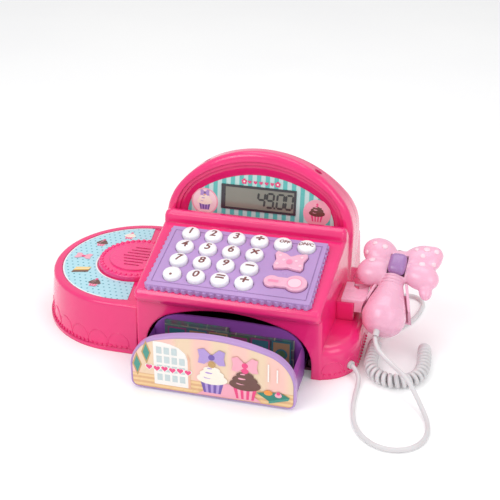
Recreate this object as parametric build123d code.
from build123d import *
import os
from math import atan2, ceil, cos, hypot, pi, radians, sin, tan

# Toy cash register. Millimetres, +X to the right, +Y to the back, +Z up.
# The origin is on the underside of the base plate, halfway along the console's depth.

# ---- driving dimensions ---------------------------------------------------------------------
DEPTH = 155.0                 # console, front face to back
FRONT = -DEPTH / 2
WALL = 2.5                    # moulded shell thickness
PLATE_T = 2.5                 # base plate
GAP = 0.3                     # running clearance between moving pieces
FIT = 0.1                     # clearance between pieces that don't move

CONSOLE_HALF_FRONT = 79.0     # half width at the floor, at the front face
CONSOLE_HALF_BACK = 87.0      # half width at the floor, at the back
CONSOLE_DRAFT = 2.0           # degrees, all side walls
DECK_SLOPE = 11.2             # keypad deck, degrees
DECK_FRONT_Z = 66.6           # deck height at the front face
DECK_END = 92.0               # where the deck meets the display head, from the front
SHELF_Z = 81.5                # console's top behind the deck
PARTING = 124.0               # rear cover starts here, from the front

KEY_PITCH_X = 20.0
KEY_PITCH_Y = 17.9            # along the slope
KEY_R = 7.6
KEY_CROWN, KEY_DOME_R = 5.0, 20.0
KEY_ROW_1 = 66.0              # top row, along the slope from the front face
KEY_COLUMN_1 = -48.8
PLATE_HALF_X = 69.0           # keypad plate
PLATE_LOW, PLATE_HIGH = -3.5, 77.5
PLATE_PROUD = 5.0
WINDOW_HALF_X = 63.5          # opening in the deck under the keypad plate
WINDOW_LOW, WINDOW_HIGH = 2.5, 75.0
BOW_BUTTON = (41.5, 46.2)     # centres on the deck, across and along the slope
MIC_BUTTON = (43.0, 19.0)

HEAD_LEAN = 8.0               # display head leans back, degrees
HEAD_FRONT = 101.0            # rim's front plane at HEAD_Z, from the front face
HEAD_Z = 84.0
HEAD_HALF = 84.0
HEAD_TOP = 63.0               # rim's top above HEAD_Z, along the lean
HEAD_CORNER = 50.0
RECESS_STEPS = [(75.5, 54.0, 44.0, 2.0), (72.5, 50.5, 41.0, 4.5)]  # half, top, corner, deep
RECESS = 8.7                  # display panel, behind the rim's front plane
LABEL_HALF, LABEL_TOP, LABEL_CORNER = 66.0, 40.5, 30.0
LABEL_T = 0.6
LCD_W, LCD_H = 67.0, 22.2
LCD_X, LCD_RISE = -1.8, 18.8  # display centre, above HEAD_Z along the lean
WELL_X, WELL_R = 49.0, 3.2    # screw wells in the top of the head
WELL_D, WELL_FLOOR = 117.5, 126.0

OPENING_HALF, OPENING_TOP, OPENING_CORNER, OPENING_SPRING = 70.0, 52.5, 34.0, 12.0
DRAWER_OUT = 46.0             # drawer front's outer face, ahead of the console, at rest
DRAWER_FRONT_T = 6.2
DRAWER_HALF, DRAWER_TOP, DRAWER_CORNER, DRAWER_SPRING = 67.0, 56.5, 30.0, 20.5
DRAWER_BOTTOM = 1.5
TRAY_HALF, TRAY_TOP, TRAY_CORNER, TRAY_SPRING = 64.0, 45.0, 24.0, 20.0
TRAY_FLOOR, TRAY_WALL, TRAY_BACK = 3.2, 2.0, 2.0
RUNNER_END = 60.0             # tray runners reach this far behind the console's front, at rest

WING_X = -104.0               # centre of the half-round wing
WING_R_BOTTOM, WING_R_TOP, WING_BAND_R = 78.0, 73.8, 79.3
WING_H, WING_BAND_H = 44.0, 3.5
WING_LABEL_R, WING_LABEL_INNER = 66.0, 36.0
SPEAKER_CAP_R, SPEAKER_CAP_H = 34.5, 5.0

FOOT_X = 70.5                 # centre of the side foot's round front corner
FOOT_R = 34.0
FOOT_H = 29.0
FOOT_BACK = DEPTH - 6.0

BRACKET_Y0, BRACKET_Y1 = -27.5, 2.5
BRACKET_X, BRACKET_TOP = 95.0, 46.5
ARM_X, ARM_TOP, ARM_LOW = 104.0, 49.0, 38.0
BRACKET_SCREWS = (BRACKET_Y0 + 8, BRACKET_Y1 - 8)
BRACKET_SCREW_X, BRACKET_SCREW_Z = 75.2, 36.0

SCREW_R, SCREW_HEAD_R, SCREW_HEAD_T = 1.5, 2.8, 1.8
POSTS = [(-72.5, -30), (72.5, -30), (-72.5, 60), (72.5, 60)]   # base plate screws, x and y
POST_R, POST_TOP = 3.6, 44.0

# Handset: its own frame sits on the bow's knot, +X across the bow, +Y up the slope towards the
# bow's top, +Z out of the bow's face.
KNOT = (124.5, 11.5, 66.0)
TILT, YAW = 32.0, 5.4
HANDLE_PROFILE = [(8.5, -4), (9.5, -20), (12.5, -30), (16.0, -40), (18.2, -50)]
HANDLE_END = -66.6
SHELL_T = 2.0
BOW_T = 8.0                   # half thickness of the bow
TRIGGER_X, TRIGGER_V = 1.5, -3.8    # knot's centre on the bow's face
TRIGGER_W, TRIGGER_L, TRIGGER_TOP = 14.0, 18.5, 12.6
LENS_R = 3.1
COLLAR_X, COLLAR_Z, COLLAR_TIP = -2.0, 4.0, -71.0

# Cords. The lead runs from the side foot to the handset; the coiled lead lies by the foot.
CORD_D = 3.8
COIL_D = 12.0
PLUG_R, PLUG_L = 5.6, 8.0
GLAND_R, GLAND_OUT = 3.4, 2.0
LEAD_ANGLE = -32.6            # lead's exit on the foot's round corner, degrees
EXIT_Z = 9.0
COIL_EXIT_Y = 52.5


def depth(d):
    """Y of a point that lies d behind the front face."""
    return FRONT + d


def deck_z(d):
    return DECK_FRONT_Z + d * tan(radians(DECK_SLOPE))


HEAD_PLANE = Plane(origin=(0, depth(HEAD_FRONT), HEAD_Z), x_dir=(1, 0, 0),
                   z_dir=(0, -cos(radians(HEAD_LEAN)), sin(radians(HEAD_LEAN))))
DECK_PLANE = Plane(origin=(0, depth(0), DECK_FRONT_Z), x_dir=(1, 0, 0),
                   z_dir=(0, -sin(radians(DECK_SLOPE)), cos(radians(DECK_SLOPE))))
HANDSET_PLANE = Plane(
    origin=KNOT, x_dir=(cos(radians(YAW)), -sin(radians(YAW)), 0),
    z_dir=(-sin(radians(YAW)) * sin(radians(TILT)), -cos(radians(YAW)) * sin(radians(TILT)),
           cos(radians(TILT))))


def on(plane, shape):
    return plane.location * shape


def handset_point(x, y, z):
    return HANDSET_PLANE.from_local_coords(Vector(x, y, z))


def cylinder(radius, height, x=0.0, y=0.0, z=0.0):
    """Cylinder that stands on z."""
    return Pos(x, y, z + height / 2) * Cylinder(radius, height)


def block(x0, y0, z0, x1, y1, z1):
    """Box from its lowest corner to its highest."""
    return Pos((x0 + x1) / 2, (y0 + y1) / 2, (z0 + z1) / 2) * Box(x1 - x0, y1 - y0, z1 - z0)


def arch(half, top, corner, base=0.0):
    """Three-centred arch face standing on the line y = base: two corner arcs, one top arc."""
    rise = top - base
    side = half - corner
    drop = (side ** 2 - (rise - corner) ** 2) / (2 * (rise - corner))
    radius = rise + drop
    reach = hypot(side, drop)
    touch = (radius * side / reach, base - drop + radius * drop / reach)
    middle = atan2(drop, side) / 2
    mid = (side + corner * cos(middle), base + corner * sin(middle))
    return make_face(Wire([
        Line((-half, base), (half, base)),
        ThreePointArc((half, base), mid, touch),
        ThreePointArc(touch, (0, top), (-touch[0], touch[1])),
        ThreePointArc((-touch[0], touch[1]), (-mid[0], mid[1]), (-half, base))]))


def tall_arch(half, top, corner, base, spring):
    """An arch whose sides run straight up from base to spring."""
    return arch(half, top, corner, spring) + Pos(0, (base + spring) / 2) * Rectangle(
        2 * half, spring - base)


def side_prism(points, half=120.0):
    """Solid from a (depth, height) outline, extruded both ways along X."""
    outline = Polyline([(depth(d), z) for d, z in points], close=True)
    return extrude(Plane.YZ * make_face(outline), half, both=True)


def front_prism(face, d0, d1):
    """Solid from an (x, z) face, from depth d0 to depth d1."""
    plane = Plane(origin=(0, depth(d0), 0), x_dir=(1, 0, 0), z_dir=(0, -1, 0))
    return on(plane, extrude(face, -(d1 - d0)))


def round_edges(solid, radius, pick):
    """Fillet the edges that pick accepts, as large as the solid allows."""
    edges = [edge for edge in solid.edges() if pick(edge)]
    for share in (1.0, 0.75, 0.5, 0.25):
        try:
            rounded = fillet(edges, radius * share)
        except (ValueError, RuntimeError):
            continue
        if rounded.is_valid:
            return rounded
    return solid


# ---- console shell --------------------------------------------------------------------------
def drafted_walls(inset):
    """The console's drafted side walls, running a little past its front and back."""
    front, back = CONSOLE_HALF_FRONT - inset, CONSOLE_HALF_BACK - inset
    reach = 12.0
    flare = reach * (back - front) / DEPTH
    plan = Polyline([(-front + flare, FRONT - reach), (front - flare, FRONT - reach),
                     (back + flare, -FRONT + reach), (-back - flare, -FRONT + reach)], close=True)
    return extrude(make_face(plan), 110, taper=CONSOLE_DRAFT)


def console_block(inset, top_drop):
    """Console body; inset shrinks its walls, top_drop lowers its deck."""
    return drafted_walls(inset) & side_prism([
        (inset, 0), (inset, deck_z(0) - top_drop), (DECK_END, deck_z(DECK_END) - top_drop),
        (DECK_END + 8, SHELF_Z - top_drop), (124, SHELF_Z - top_drop),
        (DEPTH - 4 - inset, 60 - top_drop), (DEPTH - inset, 0)])


def head_block(inset, start):
    """Leaning display head, from start behind the rim's front plane to the sloping back."""
    section = tall_arch(HEAD_HALF - inset, HEAD_TOP - inset, HEAD_CORNER - inset, -70, -4)
    prism = on(HEAD_PLANE, Pos(0, 0, -60) * extrude(section, 60 - start))
    return prism & side_prism([
        (60, 20), (60, 200), (HEAD_FRONT + 26 - inset, 200), (HEAD_FRONT + 26 - inset, 146),
        (DEPTH - 4 - inset, 58), (DEPTH - 2 - inset, 20)])


def nose_bar():
    """Rounded lip along the deck's front edge, above the drawer."""
    face = make_face(Polyline([
        (depth(6), 50), (depth(-0.5), 53.0), (depth(-4.4), 55.4), (depth(-6.6), 59.2),
        (depth(-5.9), 63.2), (depth(-3.2), deck_z(-3.2)), (depth(6), deck_z(6))], close=True))
    face = fillet(face.vertices().sort_by(Axis.X)[:4], 1.6)
    bar = extrude(Plane.YZ * face, 90, both=True) & drafted_walls(0)
    return round_edges(bar, 3.5, lambda e: abs(e.center().X) > 70 and e.center().Y < depth(3))


def roll_bar():
    """Rounded ledge between the keypad and the display."""
    face = make_face(Polyline([
        (depth(85), 78), (depth(84.6), 87.5), (depth(86.6), 91.4), (depth(90.4), 93.2),
        (depth(94.6), 92.4), (depth(101), 88), (depth(106), 78)], close=True))
    face = fillet(face.vertices().sort_by(Axis.Y)[-4:], 1.9)
    bar = extrude(Plane.YZ * face, 90, both=True) & drafted_walls(0)
    return round_edges(bar, 5.0, lambda e: abs(e.center().X) > 70 and e.center().Z > 80)


def foot_plan(inset):
    """Side foot's outline on the floor: straight outer wall, round front corner."""
    outer, corner = FOOT_X + FOOT_R - inset, FOOT_R - inset
    inner, front, back = FOOT_X - 6.0, FRONT + inset, depth(FOOT_BACK) - inset
    rear = 12.0 - inset
    turn = sin(pi / 4)
    return make_face(Wire([
        Line((inner, front), (FOOT_X, front)),
        ThreePointArc((FOOT_X, front), (FOOT_X + corner * turn, FRONT + FOOT_R - corner * turn),
                      (outer, FRONT + FOOT_R)),
        Line((outer, FRONT + FOOT_R), (outer, back - rear)),
        ThreePointArc((outer, back - rear), (outer - rear + rear * turn, back - rear + rear * turn),
                      (outer - rear, back)),
        Line((outer - rear, back), (inner, back)),
        Line((inner, back), (inner, front))]))


def foot_block(inset):
    top = FOOT_H - inset
    solid = extrude(foot_plan(inset), top)
    return round_edges(solid, 9.0 - inset, lambda e: e.center().Z > top - 0.1
                       and e.center().X > FOOT_X - 4)


def outer_shell():
    body = console_block(0, 0)
    body = round_edges(body, 6.5, lambda e: e.center().Z > 60 and abs(e.center().X) > 70
                       and e.center().Y < depth(100))
    body = round_edges(body, 5.0, lambda e: 10 < e.center().Z < 60 and abs(e.center().X) > 70
                       and e.center().Y < depth(5))
    body = round_edges(body, 6.0, lambda e: 10 < e.center().Z < 60 and abs(e.center().X) > 70
                       and e.center().Y > depth(DEPTH - 5))
    head = head_block(0, 0)
    head = round_edges(head, 5.5, lambda e: e.center().Z > HEAD_Z + 2
                       and abs((e.center() - HEAD_PLANE.origin).dot(HEAD_PLANE.z_dir)) < 0.5)
    head = round_edges(head, 8.0, lambda e: e.center().Z > 95
                       and e.center().Y > depth(HEAD_FRONT + 24))
    return body + foot_block(0) + head + nose_bar() + roll_bar()


def inner_hollow():
    return (console_block(WALL, WALL) + foot_block(WALL)
            + head_block(WALL, RECESS + WALL) - block(-90, FRONT - 5, -5, 90, FRONT + WALL, 110))


def display_recess():
    """Stepped and bevelled recess in the head's front, down to the display panel."""
    base = -1.0
    cut = None
    for half, top, corner, deep in RECESS_STEPS:
        piece = on(HEAD_PLANE, Pos(0, 0, -deep) * extrude(arch(half, top, corner, base), deep + 0.5))
        cut = piece if cut is None else cut + piece
    mouth = Pos(0, 0, 0.1 - RECESS_STEPS[-1][3]) * arch(70.5, 48.0, 38.5, base)
    panel = Pos(0, 0, -RECESS) * arch(LABEL_HALF + 0.4, LABEL_TOP + 0.4, LABEL_CORNER, base)
    return cut + on(HEAD_PLANE, loft([mouth, panel]))


def screw_posts():
    """Ribbed posts for the base plate's screws, and bosses for the screws in the head."""
    posts = None
    for x, y in POSTS:
        base = PLATE_T + FIT
        post = cylinder(POST_R, POST_TOP - base, x, y, base)
        x0, x1 = sorted((x, x + (14 if x > 0 else -14)))
        post += block(x0, y - 1, base, x1, y + 1, POST_TOP)
        post -= cylinder(SCREW_R + FIT, 12, x, y, base - 1)
        posts = post if posts is None else posts + post
    return posts


def head_bosses():
    """Bosses under the head's top, one below each screw well."""
    bosses = None
    for side in (-1, 1):
        boss = cylinder(WELL_R + 2.0, 40, side * WELL_X, depth(WELL_D), WELL_FLOOR - 10)
        bosses = boss if bosses is None else bosses + boss
    return bosses & head_block(1.0, 0)


def make_housings():
    """The front housing and the rear cover, hollow and open below."""
    shell = outer_shell() - inner_hollow() - display_recess()
    opening = tall_arch(OPENING_HALF, OPENING_TOP, OPENING_CORNER, -5, OPENING_SPRING)
    shell -= front_prism(opening, -20, 14)
    pocket = tall_arch(DRAWER_HALF + 0.8, DRAWER_TOP + 0.8, DRAWER_CORNER, -5, DRAWER_SPRING)
    shell -= front_prism(pocket, -20, 0.0)
    window_y = (WINDOW_LOW + WINDOW_HIGH) / 2
    shell -= on(DECK_PLANE, Pos(0, window_y, 0) * Box(
        2 * WINDOW_HALF_X, WINDOW_HIGH - WINDOW_LOW, 16))
    shell -= on(HEAD_PLANE, Pos(LCD_X, LCD_RISE, -RECESS) * Box(LCD_W - 3, LCD_H - 3, 12))
    shell += head_bosses()
    for side in (-1, 1):
        shell -= cylinder(WELL_R, 30, side * WELL_X, depth(WELL_D), WELL_FLOOR)
        shell -= cylinder(SCREW_R + FIT, 12, side * WELL_X, depth(WELL_D), WELL_FLOOR - 9)
    shell += screw_posts() & drafted_walls(1.0)
    shell -= lead_hole() + coil_hole()
    for y in BRACKET_SCREWS:
        shell -= Pos(80, y, BRACKET_SCREW_Z) * Rot(0, 90, 0) * Cylinder(SCREW_R + FIT, 16)
    front = shell & block(-200, -200, -10, 200, depth(PARTING) - FIT / 2, 200)
    back = shell & block(-200, depth(PARTING) + FIT / 2, -10, 200, 200, 200)
    return largest(front), largest(back)


def largest(shape):
    return shape.solids().sort_by(SortBy.VOLUME)[-1]


def base_plate():
    """Floor of the console and foot, with drawer guides and a battery hatch."""
    reach = WALL + FIT
    plan = console_block(reach, WALL) + extrude(foot_plan(reach), 40)
    plate = plan & block(-200, depth(12), 0, 200, 200, PLATE_T)
    for side in (-1, 1):
        x0, x1 = sorted((side * (TRAY_HALF + 0.8), side * (TRAY_HALF + 3.0)))
        plate += block(x0, depth(14), PLATE_T, x1, depth(104), PLATE_T + 6)
    plate -= block(-30, depth(100), -1, 30, depth(149.5), PLATE_T + 1)
    for x, y in POSTS:
        plate -= cylinder(SCREW_R + FIT, 20, x, y, -5)
        plate -= cylinder(SCREW_HEAD_R + FIT, 3.0, x, y, -2)
    return plate


def screw(head_t, length):
    """Screw pointing up from the origin, head at the bottom."""
    return cylinder(SCREW_HEAD_R, head_t) + cylinder(SCREW_R, length, 0, 0, head_t)


def housing_screws():
    screws = [Pos(x, y, 0.1) * screw(0.8, 8.0) for x, y in POSTS]
    for side in (-1, 1):
        screws.append(Pos(side * WELL_X, depth(WELL_D), WELL_FLOOR + 0.1 + SCREW_HEAD_T)
                      * Rot(180, 0, 0) * screw(SCREW_HEAD_T, 7.0))
    for y in BRACKET_SCREWS:
        screws.append(Pos(BRACKET_SCREW_X, y, BRACKET_SCREW_Z) * Rot(0, 90, 0)
                      * screw(SCREW_HEAD_T, 13.0))
    return Compound(children=[piece.solid() for piece in screws])


def console_envelope():
    """Everything the console and its head fill, grown by the fit clearance."""
    return console_block(-FIT, -FIT) + head_block(-FIT, -FIT) + block(
        -90, depth(DEPTH), -1, 0, 100, 60)


# ---- wing -----------------------------------------------------------------------------------
def wing_block(inset, height):
    """Half-round wing with a straight neck into the console."""
    radius_top = WING_R_TOP - inset
    radius_bottom = WING_R_BOTTOM - inset
    at_height = radius_bottom + (radius_top - radius_bottom) * height / WING_H
    cone = Pos(WING_X, 0, height / 2) * Cone(radius_bottom, at_height, height)
    ends = [(radius_bottom, 0.0), (at_height, height)]
    neck_face = make_face(Polyline([(-ends[0][0], 0), (ends[0][0], 0), (ends[1][0], height),
                                    (-ends[1][0], height)], close=True))
    neck = extrude(Plane.YZ * neck_face, 40)
    round_end = cone & block(-300, -200, -1, WING_X, 200, 100)
    return round_end + Pos(WING_X, 0, 0) * neck


def wing_housing():
    solid = wing_block(0, WING_H)
    solid = round_edges(solid, 3.0, lambda e: e.center().Z > WING_H - 0.1
                        and e.center().X < WING_X + 30)
    band = cylinder(WING_BAND_R, WING_BAND_H, WING_X) & block(-300, -200, -1, WING_X, 200, 100)
    band += block(WING_X, -WING_BAND_R, 0, -CONSOLE_HALF_FRONT + 0.4, WING_BAND_R, WING_BAND_H)
    solid += band
    solid -= wing_block(WALL, WING_H - WALL)
    solid -= cylinder(WING_LABEL_R + 0.5, 5, WING_X, 0, WING_H - LABEL_T - 0.4)
    solid -= cylinder(SPEAKER_CAP_R - 4, 20, WING_X, 0, WING_H - 12)
    solid -= console_envelope()
    solid &= block(-300, FRONT - 2.5, -1, 0, 100, 100)
    return largest(solid)


def wing_floor():
    plate = wing_block(WALL + FIT, 30) & block(-300, -200, 0, 0, 200, PLATE_T)
    return largest(plate - console_envelope())


def wing_label():
    """C-shaped printed label, its ends cut beside the console."""
    z = WING_H - LABEL_T - 0.4 + 0.01
    ring = cylinder(WING_LABEL_R, LABEL_T, WING_X, 0, z) - cylinder(
        WING_LABEL_INNER, 5, WING_X, 0, z - 1)
    cut = extrude(make_face(Polyline([(-86, -90), (-114, 90), (-20, 90), (-20, -90)], close=True)),
                  100)
    return largest(ring - cut)


def speaker_cap():
    """Raised disc over the speaker, beads round its rim, sound slots on its plateau."""
    z = WING_H - LABEL_T - 0.4 + 0.01
    cap = cylinder(SPEAKER_CAP_R, SPEAKER_CAP_H, WING_X, 0, z)
    cap = round_edges(cap, 1.5, lambda e: e.center().Z > z + SPEAKER_CAP_H - 0.1)
    cap += cylinder(SPEAKER_CAP_R - 10, 1.2, WING_X, 0, z + SPEAKER_CAP_H)
    cap -= cylinder(SPEAKER_CAP_R - 6, SPEAKER_CAP_H - 1.6, WING_X, 0, z - 1.8)
    for row in range(-3, 4):
        width = 26.0 - 4.0 * abs(row)
        slot = Pos(WING_X, row * 5.2, z + 4) * extrude(
            SlotOverall(width, 1.8), 8, both=True)
        cap -= slot
    return largest(cap - console_envelope())


def speaker():
    """Loudspeaker under the cap: basket, magnet and cone."""
    top = WING_H - LABEL_T - 4.0
    basket = cylinder(20, 2.0, WING_X, 0, top - 2.2) - cylinder(16, 5, WING_X, 0, top - 4)
    horn = Pos(WING_X, 0, top - 6.2) * (Cone(7, 16.2, 8) - Pos(0, 0, 1.0) * Cone(7, 16.2, 8))
    magnet = cylinder(11, 7, WING_X, 0, top - 17)
    return basket + horn + magnet


# ---- display --------------------------------------------------------------------------------
def head_label():
    face = arch(LABEL_HALF, LABEL_TOP, LABEL_CORNER, -0.6) - Pos(LCD_X, LCD_RISE) * Rectangle(
        LCD_W + 0.2, LCD_H + 0.2)
    return on(HEAD_PLANE, Pos(0, 0, -RECESS + 0.02) * extrude(face, LABEL_T))


def screen_face(inset):
    """Opening of the bezel, wider at its right."""
    return Pos(LCD_X + 0.9, LCD_RISE) * Rectangle(LCD_W - 5.4 - inset, LCD_H - 3.6 - inset)


def lcd_bezel():
    outer = Pos(LCD_X, LCD_RISE) * Rectangle(LCD_W, LCD_H)
    bezel = extrude(outer, 1.6) - extrude(screen_face(0.0), 5)
    return on(HEAD_PLANE, Pos(0, 0, -RECESS + 0.02) * bezel)


def lcd_window():
    pane = extrude(screen_face(0.2), 1.0)
    return on(HEAD_PLANE, Pos(0, 0, -RECESS + 0.2) * pane)


def lcd_module():
    glass = Pos(LCD_X, LCD_RISE, -RECESS - 1.4) * Box(LCD_W - 3.4, LCD_H - 3.4, 2.4)
    board = Pos(LCD_X, LCD_RISE, -RECESS - 4.4) * Box(LCD_W + 4, LCD_H + 4, 1.6)
    pins = Pos(LCD_X, LCD_RISE, -RECESS - 3.1) * Box(LCD_W - 8, LCD_H - 8, 1.2)
    return on(HEAD_PLANE, glass + pins + board)


# ---- keypad ---------------------------------------------------------------------------------
KEY_NAMES = [
    ["key_1", "key_2", "key_3", "key_divide", "key_off", "key_on"],
    ["key_4", "key_5", "key_6", "key_times"],
    ["key_7", "key_8", "key_9", "key_minus"],
    ["key_point", "key_0", "key_equals", "key_plus"]]


def key_places():
    """Name and centre of each round key on the deck plane."""
    for row, names in enumerate(KEY_NAMES):
        for column, name in enumerate(names):
            yield name, KEY_COLUMN_1 + column * KEY_PITCH_X, KEY_ROW_1 - row * KEY_PITCH_Y


def bow_face(grow=0.0):
    """Bow-shaped button outline, notched at its middle."""
    half = [(0, 5.0), (5, 8.5), (12.5, 10.4), (13.8, 7.0), (11.5, 0), (12.5, -7.5), (11, -11.4),
            (5, -10.5), (0, -9.0)]
    points = half + [(-x, y) for x, y in reversed(half[1:-1])]
    face = make_face(Polyline(points, close=True))
    face = fillet(face.vertices(), 1.3)
    return offset(face, grow) if grow else face


def mic_face(grow=0.0):
    """Microphone-shaped button outline: small end, neck and large round end."""
    small, large = Pos(-10.5, 0) * Circle(6.6 + grow), Pos(9, 0.5) * Circle(9.2 + grow)
    neck = Pos(-1, 0) * Rectangle(20, 11 + 2 * grow)
    return small + neck + large


def keypad_plate():
    """Lavender keypad plate with a ruffled edge and holes for the keys."""
    length = PLATE_HIGH - PLATE_LOW
    middle = (PLATE_HIGH + PLATE_LOW) / 2
    plate = Pos(0, middle) * extrude(Rectangle(2 * PLATE_HALF_X - 3, length - 3), PLATE_PROUD)
    ruffle, lobe = 6.0, 2.3
    counts = [(2 * PLATE_HALF_X - 3, True), (length - 3, False)]
    for extent, along_x in counts:
        number = ceil(extent / ruffle)
        for i in range(number):
            along = -extent / 2 + (i + 0.5) * extent / number
            for side in (-1, 1):
                across = side * ((length if along_x else 2 * PLATE_HALF_X) / 2 - lobe)
                x, y = (along, middle + across) if along_x else (across, middle + along)
                plate += cylinder(lobe, PLATE_PROUD - 1.2, x, y, 0)
    plate = plate - Pos(0, middle) * (
        extrude(Rectangle(2 * PLATE_HALF_X - 10.2, length - 12.2), 20)
        - extrude(Rectangle(2 * PLATE_HALF_X - 11.6, length - 13.6), 20)
    ).translate((0, 0, PLATE_PROUD - 0.5))
    for _, x, y in key_places():
        plate -= cylinder(KEY_R + GAP, 20, x, y, -5)
    plate -= Pos(*BOW_BUTTON, -5) * extrude(bow_face(GAP), 20)
    plate -= Pos(*MIC_BUTTON, -5) * extrude(mic_face(GAP), 20)
    return on(DECK_PLANE, Pos(0, 0, 0.02) * plate)


def round_key(x, y):
    """Domed key with a retaining flange and a stem."""
    top = PLATE_PROUD + KEY_CROWN
    key = cylinder(KEY_R, top + 0.6, 0, 0, -0.6) & Pos(0, 0, top - KEY_DOME_R) * Sphere(KEY_DOME_R)
    key = fillet([edge for edge in key.edges() if edge.center().Z > top - 3], 2.2)
    key += cylinder(KEY_R + 0.6, 1.6, 0, 0, -2.2) + cylinder(2.6, 2.0, 0, 0, -4.0)
    return on(DECK_PLANE, Pos(x, y, 0) * key)


def shaped_key(face, flange, x, y):
    """Flat-topped shaped button with a flange and a stem under it."""
    key = extrude(face, PLATE_PROUD + 2.4 + 0.6).translate((0, 0, -0.6))
    key = round_edges(key, 0.8, lambda e: e.center().Z > PLATE_PROUD + 2.3)
    key += extrude(flange, 1.6).translate((0, 0, -2.2))
    key += cylinder(2.6, 2.0, 0, 0, -4.0)
    return on(DECK_PLANE, Pos(x, y, 0) * key)


def keypad_sheet(bottom, thickness, half_x, domes):
    """Flat sheet under the keypad, with a low dome under every key if asked."""
    middle = (WINDOW_LOW + WINDOW_HIGH) / 2
    sheet = Pos(0, middle, bottom) * extrude(
        Rectangle(2 * half_x, WINDOW_HIGH - WINDOW_LOW - 3), thickness)
    if domes:
        for _, x, y in key_places():
            sheet += cylinder(3.5, 0.4, x, y, bottom + thickness)
        for x, y in (BOW_BUTTON, MIC_BUTTON):
            sheet += cylinder(3.5, 0.4, x, y, bottom + thickness)
    return on(DECK_PLANE, sheet)


# ---- electronics and batteries --------------------------------------------------------------
BATTERY_R, BATTERY_L, BATTERY_PITCH = 7.1, 50.0, 15.2
BATTERY_D = 125.0             # middle battery, from the front face
BATTERY_Z = PLATE_T + 9.0


def battery_places():
    return [depth(BATTERY_D + (i - 1) * BATTERY_PITCH) for i in range(3)]


def main_board():
    board = block(-40, depth(108), 62, 40, depth(109.6), 76)
    chip = block(-9, depth(106.4), 65, 9, depth(108), 74)
    for x in (-28, -20, 20, 28):
        chip += block(x - 2, depth(105.6), 66, x + 2, depth(108), 72)
    return board + chip


def battery_box():
    """Open-bottomed tray for three cells, above the hatch."""
    half_x, half_y = 31.5, 1.5 * BATTERY_PITCH + 2.0
    middle = depth(BATTERY_D)
    box = block(-half_x, middle - half_y, PLATE_T + FIT, half_x, middle + half_y, PLATE_T + 19)
    box -= block(-half_x + 1.6, middle - half_y + 1.6, -1, half_x - 1.6, middle + half_y - 1.6,
                 PLATE_T + 17.4)
    return box


def batteries():
    cells = []
    for y in battery_places():
        cell = Pos(0, y, BATTERY_Z) * Rot(0, 90, 0) * (
            Cylinder(BATTERY_R, BATTERY_L - 2) + cylinder(2.7, 1.4, 0, 0, BATTERY_L / 2 - 1))
        cells.append(cell.solid())
    return Compound(children=cells)


def battery_contacts():
    plates = []
    for y in battery_places():
        for side, reach in ((-1, 0.0), (1, 1.4)):
            x = side * 28.9
            plates.append(block(x - 0.4, y - 6, PLATE_T + 3, x + 0.4, y + 6, PLATE_T + 15).solid())
            if side < 0:
                spring = Pos(-26.5, y, BATTERY_Z) * Rot(0, 90, 0) * Cone(4.2, 2.6, 4.3)
                plates[-1] = (plates[-1] + spring).solid()
    return Compound(children=plates)


def battery_door():
    door = block(-29.7, depth(100.3), 0.2, 29.7, depth(149.2), PLATE_T)
    for i in range(6):
        x = -12.5 + 5 * i
        door -= block(x - 0.8, depth(104), -1, x + 0.8, depth(112), 0.9)
    return door


# ---- drawer ---------------------------------------------------------------------------------
DRAWER_REAR = -(DRAWER_OUT - DRAWER_FRONT_T)      # rear face of the drawer front, from the console


def drawer_front():
    face = tall_arch(DRAWER_HALF, DRAWER_TOP, DRAWER_CORNER, DRAWER_BOTTOM, DRAWER_SPRING)
    panel = front_prism(face, -DRAWER_OUT, DRAWER_REAR)
    panel = round_edges(panel, 6.0, lambda e: e.center().Z < 3 and abs(e.center().X) > 60
                        and abs(e.center().Y - depth(-DRAWER_OUT + DRAWER_FRONT_T / 2)) < 1)
    panel = round_edges(panel, 1.2, lambda e: e.center().Z > DRAWER_BOTTOM + 1
                        and abs(e.center().Y - depth(-DRAWER_OUT)) < 0.1)
    recess = tall_arch(DRAWER_HALF - 1.7, DRAWER_TOP - 1.8, DRAWER_CORNER - 1.5,
                       DRAWER_BOTTOM + 1.4, DRAWER_SPRING)
    recess = fillet(recess.vertices().group_by(Axis.Y)[0], 4.5)
    return panel - front_prism(recess, -DRAWER_OUT - 1, -DRAWER_OUT + LABEL_T)


def drawer_label():
    face = tall_arch(DRAWER_HALF - 1.9, DRAWER_TOP - 2.0, DRAWER_CORNER - 1.5,
                     DRAWER_BOTTOM + 1.6, DRAWER_SPRING)
    face = fillet(face.vertices().group_by(Axis.Y)[0], 4.5)
    return front_prism(face, -DRAWER_OUT + 0.05, -DRAWER_OUT + LABEL_T - 0.02)


def drawer_tray():
    """Arch-section tray with two runners behind it."""
    start = DRAWER_REAR + 0.02
    outline = tall_arch(TRAY_HALF, TRAY_TOP, TRAY_CORNER, TRAY_FLOOR, TRAY_SPRING)
    tray = front_prism(outline, start, TRAY_BACK)
    inner = TRAY_HALF - TRAY_WALL
    tray -= block(-inner, depth(start) - 1, TRAY_FLOOR + TRAY_WALL, inner,
                  depth(TRAY_BACK - TRAY_WALL), 80)
    for side in (-1, 1):
        x0, x1 = sorted((side * 55.5, side * 63.0))
        tray += block(x0, depth(TRAY_BACK - 1), TRAY_FLOOR, x1, depth(RUNNER_END), TRAY_FLOOR + 4)
    return tray


def play_notes():
    """Printed play money standing against the tray's back wall."""
    notes = block(-52, depth(-3.2), TRAY_FLOOR + TRAY_WALL + 0.1, 2, depth(-0.3), 39)
    notes += block(2, depth(-2.6), TRAY_FLOOR + TRAY_WALL + 0.1, 56, depth(-0.3), 35)
    return notes


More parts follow.
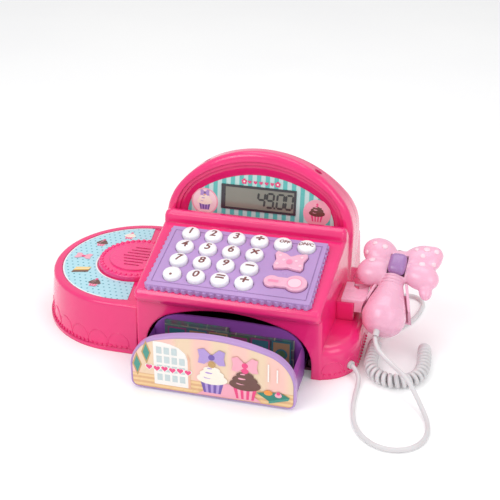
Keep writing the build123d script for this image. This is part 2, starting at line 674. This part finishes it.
# ---- bracket, cradle and handset ------------------------------------------------------------
def side_bracket():
    """Box on the console's right wall that carries the handset's arm."""
    box = block(76, BRACKET_Y0, FOOT_H - 8, BRACKET_X, BRACKET_Y1, BRACKET_TOP)
    box = round_edges(box, 1.2, lambda e: e.center().X > BRACKET_X - 0.1 and e.center().Z > 30)
    box -= console_block(-0.02, 0) + foot_block(-0.02)
    for y in BRACKET_SCREWS:
        box -= Pos(84, y, BRACKET_SCREW_Z) * Rot(0, 90, 0) * Cylinder(SCREW_R + 0.02, 18)
    return largest(box)


def handle_half(v):
    """Handle's radius at v along the handset's axis, straight between profile points."""
    for (r0, v0), (r1, v1) in zip(HANDLE_PROFILE, HANDLE_PROFILE[1:]):
        if v1 <= v <= v0:
            return r0 + (r1 - r0) * (v - v0) / (v1 - v0)
    return HANDLE_PROFILE[-1][0]


CRADLE_TOP_V, CRADLE_LOW_V = -18.0, -43.0
CRADLE_GAP, CRADLE_T = 1.2, 2.4
LIFT_ROOM = 60.0              # above the cradle, kept clear for lifting the handset
CRADLE_FLOOR = -19.5          # underside support, below the handset's middle plane


def cradle():
    """Arm and U-shaped clip with two fins that hold the handset's neck."""
    arm = block(BRACKET_X - 11, BRACKET_Y0, BRACKET_TOP + 0.02, ARM_X, BRACKET_Y1, ARM_TOP)
    arm += block(BRACKET_X + 0.02, BRACKET_Y0, ARM_LOW, ARM_X, BRACKET_Y1, ARM_TOP)
    arm -= console_block(-FIT, 0)
    fins = None
    for side in (-1, 1):
        near, far = handle_half(CRADLE_TOP_V) + CRADLE_GAP, handle_half(CRADLE_LOW_V) + CRADLE_GAP
        mid_v = -27.0
        mid = handle_half(mid_v) + CRADLE_GAP + 0.6
        outline = Polyline([
            (side * near, CRADLE_TOP_V), (side * (near + CRADLE_T), CRADLE_TOP_V),
            (side * (mid + CRADLE_T), mid_v), (side * (far + CRADLE_T), CRADLE_LOW_V),
            (side * far, CRADLE_LOW_V), (side * mid, mid_v)], close=True)
        fin = extrude(make_face(outline), 23.5).translate((0, 0, CRADLE_FLOOR - CRADLE_T))
        fins = fin if fins is None else fins + fin
    near, far = handle_half(CRADLE_TOP_V) + 3.0, handle_half(CRADLE_LOW_V) + 3.0
    floor = extrude(make_face(Polyline([(-near, CRADLE_TOP_V), (near, CRADLE_TOP_V),
                                        (far, CRADLE_LOW_V), (-far, CRADLE_LOW_V)], close=True)),
                    CRADLE_T).translate((0, 0, CRADLE_FLOOR - CRADLE_T))
    clip = on(HANDSET_PLANE, fins + floor)
    return largest(arm + clip - foot_block(-FIT) - on(HANDSET_PLANE, handset_room()))


def handset_room():
    """Space that the handset takes in the cradle, and on its way out of it."""
    edge = [(r + CRADLE_GAP, v) for r, v in HANDLE_PROFILE]
    edge.append((edge[-1][0], HANDLE_END))
    outline = Polyline(edge + [(-x, v) for x, v in reversed(edge)], close=True)
    room = handle_solid(CRADLE_GAP) + extrude(make_face(outline), LIFT_ROOM)
    bow = extrude(bow_outline(-CRADLE_GAP), LIFT_ROOM)
    return room + bow.translate((0, 0, -BOW_T - CRADLE_GAP))


def handle_solid(grow=0.0):
    """Bulbous handle about the handset's own axis."""
    points = [(r + grow, v) for r, v in HANDLE_PROFILE]
    end = HANDLE_END - grow
    side = Spline(points, tangents=[(0.1, -1), (0, -1)])
    tip = ThreePointArc(points[-1], (0.74 * points[-1][0], -50 + 0.70 * (end + 50)), (0, end))
    face = make_face(Wire([Line((0, -4), points[0]).edge(), side.edge(), tip.edge(),
                           Line((0, end), (0, -4)).edge()]))
    return revolve(face, Axis.Y)


def bow_outline(inset=0.0):
    """Handset bow: two lobed loops joined at the knot."""
    half = [(0, 11.6), (7.0, 12.8), (12.5, 17.6), (19, 20.4), (26, 21.4), (32, 19.2),
            (33.9, 13.5), (33.2, 7.0), (32.6, 1.0), (34.8, -6.0), (35.0, -14.0), (31.6, -19.6),
            (30.6, -25.0), (27.2, -27.2), (23.0, -24.0), (17.5, -17.8), (10.0, -12.8), (0, -11.8)]
    points = half + [(-x, y) for x, y in reversed(half[1:-1])]
    face = fillet(make_face(Polyline(points, close=True)).vertices(), 2.4)
    return offset(face, -inset) if inset else face


def bow_solid(inset=0.0):
    thick = BOW_T - inset
    bow = extrude(bow_outline(inset), thick, both=True)
    if not inset:
        bow = round_edges(bow, 3.5, lambda e: abs(abs(e.center().Z) - thick) < 0.1)
    return bow


def handset_shells():
    """Front and rear shells, split on the handset's middle plane."""
    solid = bow_solid() + handle_solid()
    solid -= bow_solid(SHELL_T) + handle_solid(-SHELL_T)
    solid -= Pos(TRIGGER_X, TRIGGER_V, 8) * Box(TRIGGER_W + 2 * GAP, TRIGGER_L + 2 * GAP, 16)
    solid -= Pos(0, 11, 0) * Rot(90, 0, 0) * Cylinder(LENS_R + FIT, 6)
    solid -= Pos(COLLAR_X, -64, COLLAR_Z) * Rot(90, 0, 0) * Cylinder(3.4, 14)
    upper = solid & Pos(0, 0, 50.02) * Box(200, 200, 100)
    lower = solid & Pos(0, 0, -50.02) * Box(200, 200, 100)
    return on(HANDSET_PLANE, largest(upper)), on(HANDSET_PLANE, largest(lower))


def handset_trigger():
    """Knot-shaped trigger button on the bow's face."""
    knot = Pos(0, 0, (TRIGGER_TOP + 3.0) / 2) * Box(TRIGGER_W, TRIGGER_L, TRIGGER_TOP - 3.0)
    knot = round_edges(knot, 2.4, lambda e: e.center().Z > 3.2)
    flange = Pos(0, 0.8, 3.6) * Box(TRIGGER_W + 2.4, TRIGGER_L - 5.5, 1.2)
    return on(HANDSET_PLANE, Pos(TRIGGER_X, TRIGGER_V, 0) * (knot + flange))


def handset_board():
    board = Pos(0, -13, -1.2) * Box(10.6, 40, 1.6)
    switch = Pos(TRIGGER_X, TRIGGER_V, 0.1) * Box(5, 5, 1.0)
    return on(HANDSET_PLANE, board + switch)


def handset_lens():
    lens = Pos(0, 11.1, 0) * Rot(90, 0, 0) * Cylinder(LENS_R, 2.4)
    return on(HANDSET_PLANE, lens)


def collar():
    """Strain relief on the handset's end."""
    body = Pos(COLLAR_X, (COLLAR_TIP - 58.5) / 2, COLLAR_Z) * Rot(90, 0, 0) * Cone(
        3.3, 2.5, -58.5 - COLLAR_TIP)
    return on(HANDSET_PLANE, body)


# ---- cords ----------------------------------------------------------------------------------
def exit_frame(x, y, z, direction):
    return Plane(origin=(x, y, z), z_dir=direction)


LEAD_DIR = (cos(radians(LEAD_ANGLE)), sin(radians(LEAD_ANGLE)), 0)
LEAD_WALL = (FOOT_X + FOOT_R * LEAD_DIR[0], depth(FOOT_R) + FOOT_R * LEAD_DIR[1], EXIT_Z)
COIL_WALL = (FOOT_X + FOOT_R, COIL_EXIT_Y, EXIT_Z)


def lead_hole():
    return on(exit_frame(*LEAD_WALL, LEAD_DIR), Cylinder(GLAND_R, 10))


def coil_hole():
    return on(exit_frame(*COIL_WALL, (1, 0, 0)), Cylinder(GLAND_R, 10))


def gland(wall, direction):
    """Cord grommet: barrel through the wall and a lip outside it."""
    body = cylinder(GLAND_R - 0.02, 5.0 + GLAND_OUT, 0, 0, -5.0)
    return on(exit_frame(*wall, direction), body)


LEAD_ROUTE = [
    (107.2, -69.0, 6.2), (108.6, -78.0, 2.6), (108.4, -90.0, 2.1), (108.9, -104.0, 2.1),
    (110.6, -118.0, 2.1), (114.2, -131.5, 2.1), (121.5, -143.2, 2.1), (132.2, -151.4, 2.1),
    (145.0, -153.6, 2.1), (156.8, -149.6, 2.1), (165.2, -140.6, 2.1), (168.8, -128.0, 2.1),
    (167.4, -114.0, 2.1), (161.8, -101.0, 4.2), (154.2, -90.8, 11.4), (146.0, -81.6, 18.2),
    (136.6, -72.6, 18.9), (127.2, -64.6, 21.6), (118.0, -57.8, 27.0)]
LEAD_END_GAP = 0.8            # from the handset's collar
COIL_ROUTE = [
    (113.4, -17.0, 6.0), (114.4, -28.5, 6.0), (114.0, -40.0, 6.0), (114.2, -51.5, 6.0),
    (117.0, -62.0, 6.0), (124.7, -69.7, 6.0), (135.2, -72.5, 6.0), (145.7, -69.7, 6.0),
    (153.4, -62.0, 6.0), (156.4, -51.5, 6.0), (157.0, -38.0, 6.0), (155.6, -24.0, 6.0)]
TAIL_ROUTE = [
    (112.5, 52.9, 8.6), (118.2, 59.0, 5.4), (122.6, 66.2, 2.5), (128.2, 71.5, 2.1),
    (135.8, 72.4, 2.1), (142.6, 68.6, 2.1), (146.2, 61.4, 2.1), (145.8, 52.0, 2.1),
    (144.0, 42.0, 2.1), (140.6, 31.8, 2.1), (135.6, 21.8, 2.1), (128.8, 11.6, 2.1),
    (121.4, 1.8, 2.6), (115.8, -7.0, 4.6)]


def tube(points, diameter, name):
    """Round tube along straight runs joined by tangent arcs; prints its radii and volume."""
    path_points = [Vector(*p) for p in points]
    radii = []
    for before, here, after in zip(path_points, path_points[1:], path_points[2:]):
        arrive, leave = here - before, after - here
        turn = radians(arrive.get_angle(leave))
        radii.append(0.45 * min(arrive.length, leave.length) / tan(turn / 2))
    path = FilletPolyline(*path_points, radius=radii)
    first = path_points[1] - path_points[0]
    section = Plane(origin=path_points[0], z_dir=first) * Circle(diameter / 2)
    solid = sweep(section, path=path)
    print(name, "length", round(path.length, 1), "volume ratio",
          round(solid.volume / (pi * diameter ** 2 / 4 * path.length), 4),
          "radii", [round(r) for r in radii])
    return solid


def ahead(wall, direction, distance):
    return tuple(w + distance * d for w, d in zip(wall, direction))


def scanner_lead():
    start = ahead(LEAD_WALL, LEAD_DIR, GLAND_OUT)
    end = handset_point(COLLAR_X, COLLAR_TIP - LEAD_END_GAP, COLLAR_Z)
    return tube([start, *LEAD_ROUTE, (end.X, end.Y, end.Z)], CORD_D, "scanner_lead")


def coil_plug():
    """Round-ended plug on the coil's far end."""
    last, before = Vector(*COIL_ROUTE[-1]), Vector(*COIL_ROUTE[-2])
    frame = Plane(origin=last, z_dir=last - before)
    body = cylinder(PLUG_R, PLUG_L)
    body = round_edges(body, PLUG_R - 1.0, lambda e: e.center().Z > PLUG_L - 0.1)
    return on(frame, body)


# ---- build ----------------------------------------------------------------------------------
def build_nodes():
    front_housing, rear_cover = make_housings()
    front_shell, rear_shell = handset_shells()
    nodes = {
        "front_housing": front_housing, "rear_cover": rear_cover, "base_plate": base_plate(),
        "housing_screws": housing_screws(), "wing_housing": wing_housing(),
        "wing_floor": wing_floor(), "wing_label": wing_label(), "speaker_cap": speaker_cap(),
        "speaker": speaker(), "display_label": head_label(), "lcd_bezel": lcd_bezel(),
        "lcd_window": lcd_window(), "lcd_module": lcd_module(), "keypad_plate": keypad_plate(),
        "dome_membrane": keypad_sheet(-7.0, 0.5, 61.0, True),
        "keypad_board": keypad_sheet(-8.8, 1.6, 61.0, False), "main_board": main_board(),
        "battery_box": battery_box(), "batteries": batteries(),
        "battery_contacts": battery_contacts(), "battery_door": battery_door(),
        "side_bracket": side_bracket(), "handset_cradle": cradle(),
        "drawer_tray": drawer_tray(), "drawer_front": drawer_front(),
        "drawer_label": drawer_label(), "play_notes": play_notes(),
        "handset_front_shell": front_shell, "handset_rear_shell": rear_shell,
        "handset_trigger": handset_trigger(), "handset_board": handset_board(),
        "handset_lens": handset_lens(), "handset_collar": collar(),
        "lead_gland": gland(LEAD_WALL, LEAD_DIR), "coil_gland": gland(COIL_WALL, (1, 0, 0)),
        "scanner_lead": scanner_lead(),
        "coil_lead": tube(COIL_ROUTE, COIL_D, "coil_lead"),
        "coil_lead_tail": tube([ahead(COIL_WALL, (1, 0, 0), GLAND_OUT), *TAIL_ROUTE,
                                COIL_ROUTE[0]], CORD_D, "coil_lead_tail"),
        "coil_lead_plug": coil_plug(),
        "bow_button": shaped_key(bow_face(), bow_face(0.5), *BOW_BUTTON),
        "mic_button": shaped_key(mic_face(), mic_face(0.5), *MIC_BUTTON)}
    for name, x, y in key_places():
        nodes[name] = round_key(x, y)
    return nodes


os.makedirs("parts", exist_ok=True)
for node, shape in build_nodes().items():
    export_step(shape, f"parts/{node}.step")
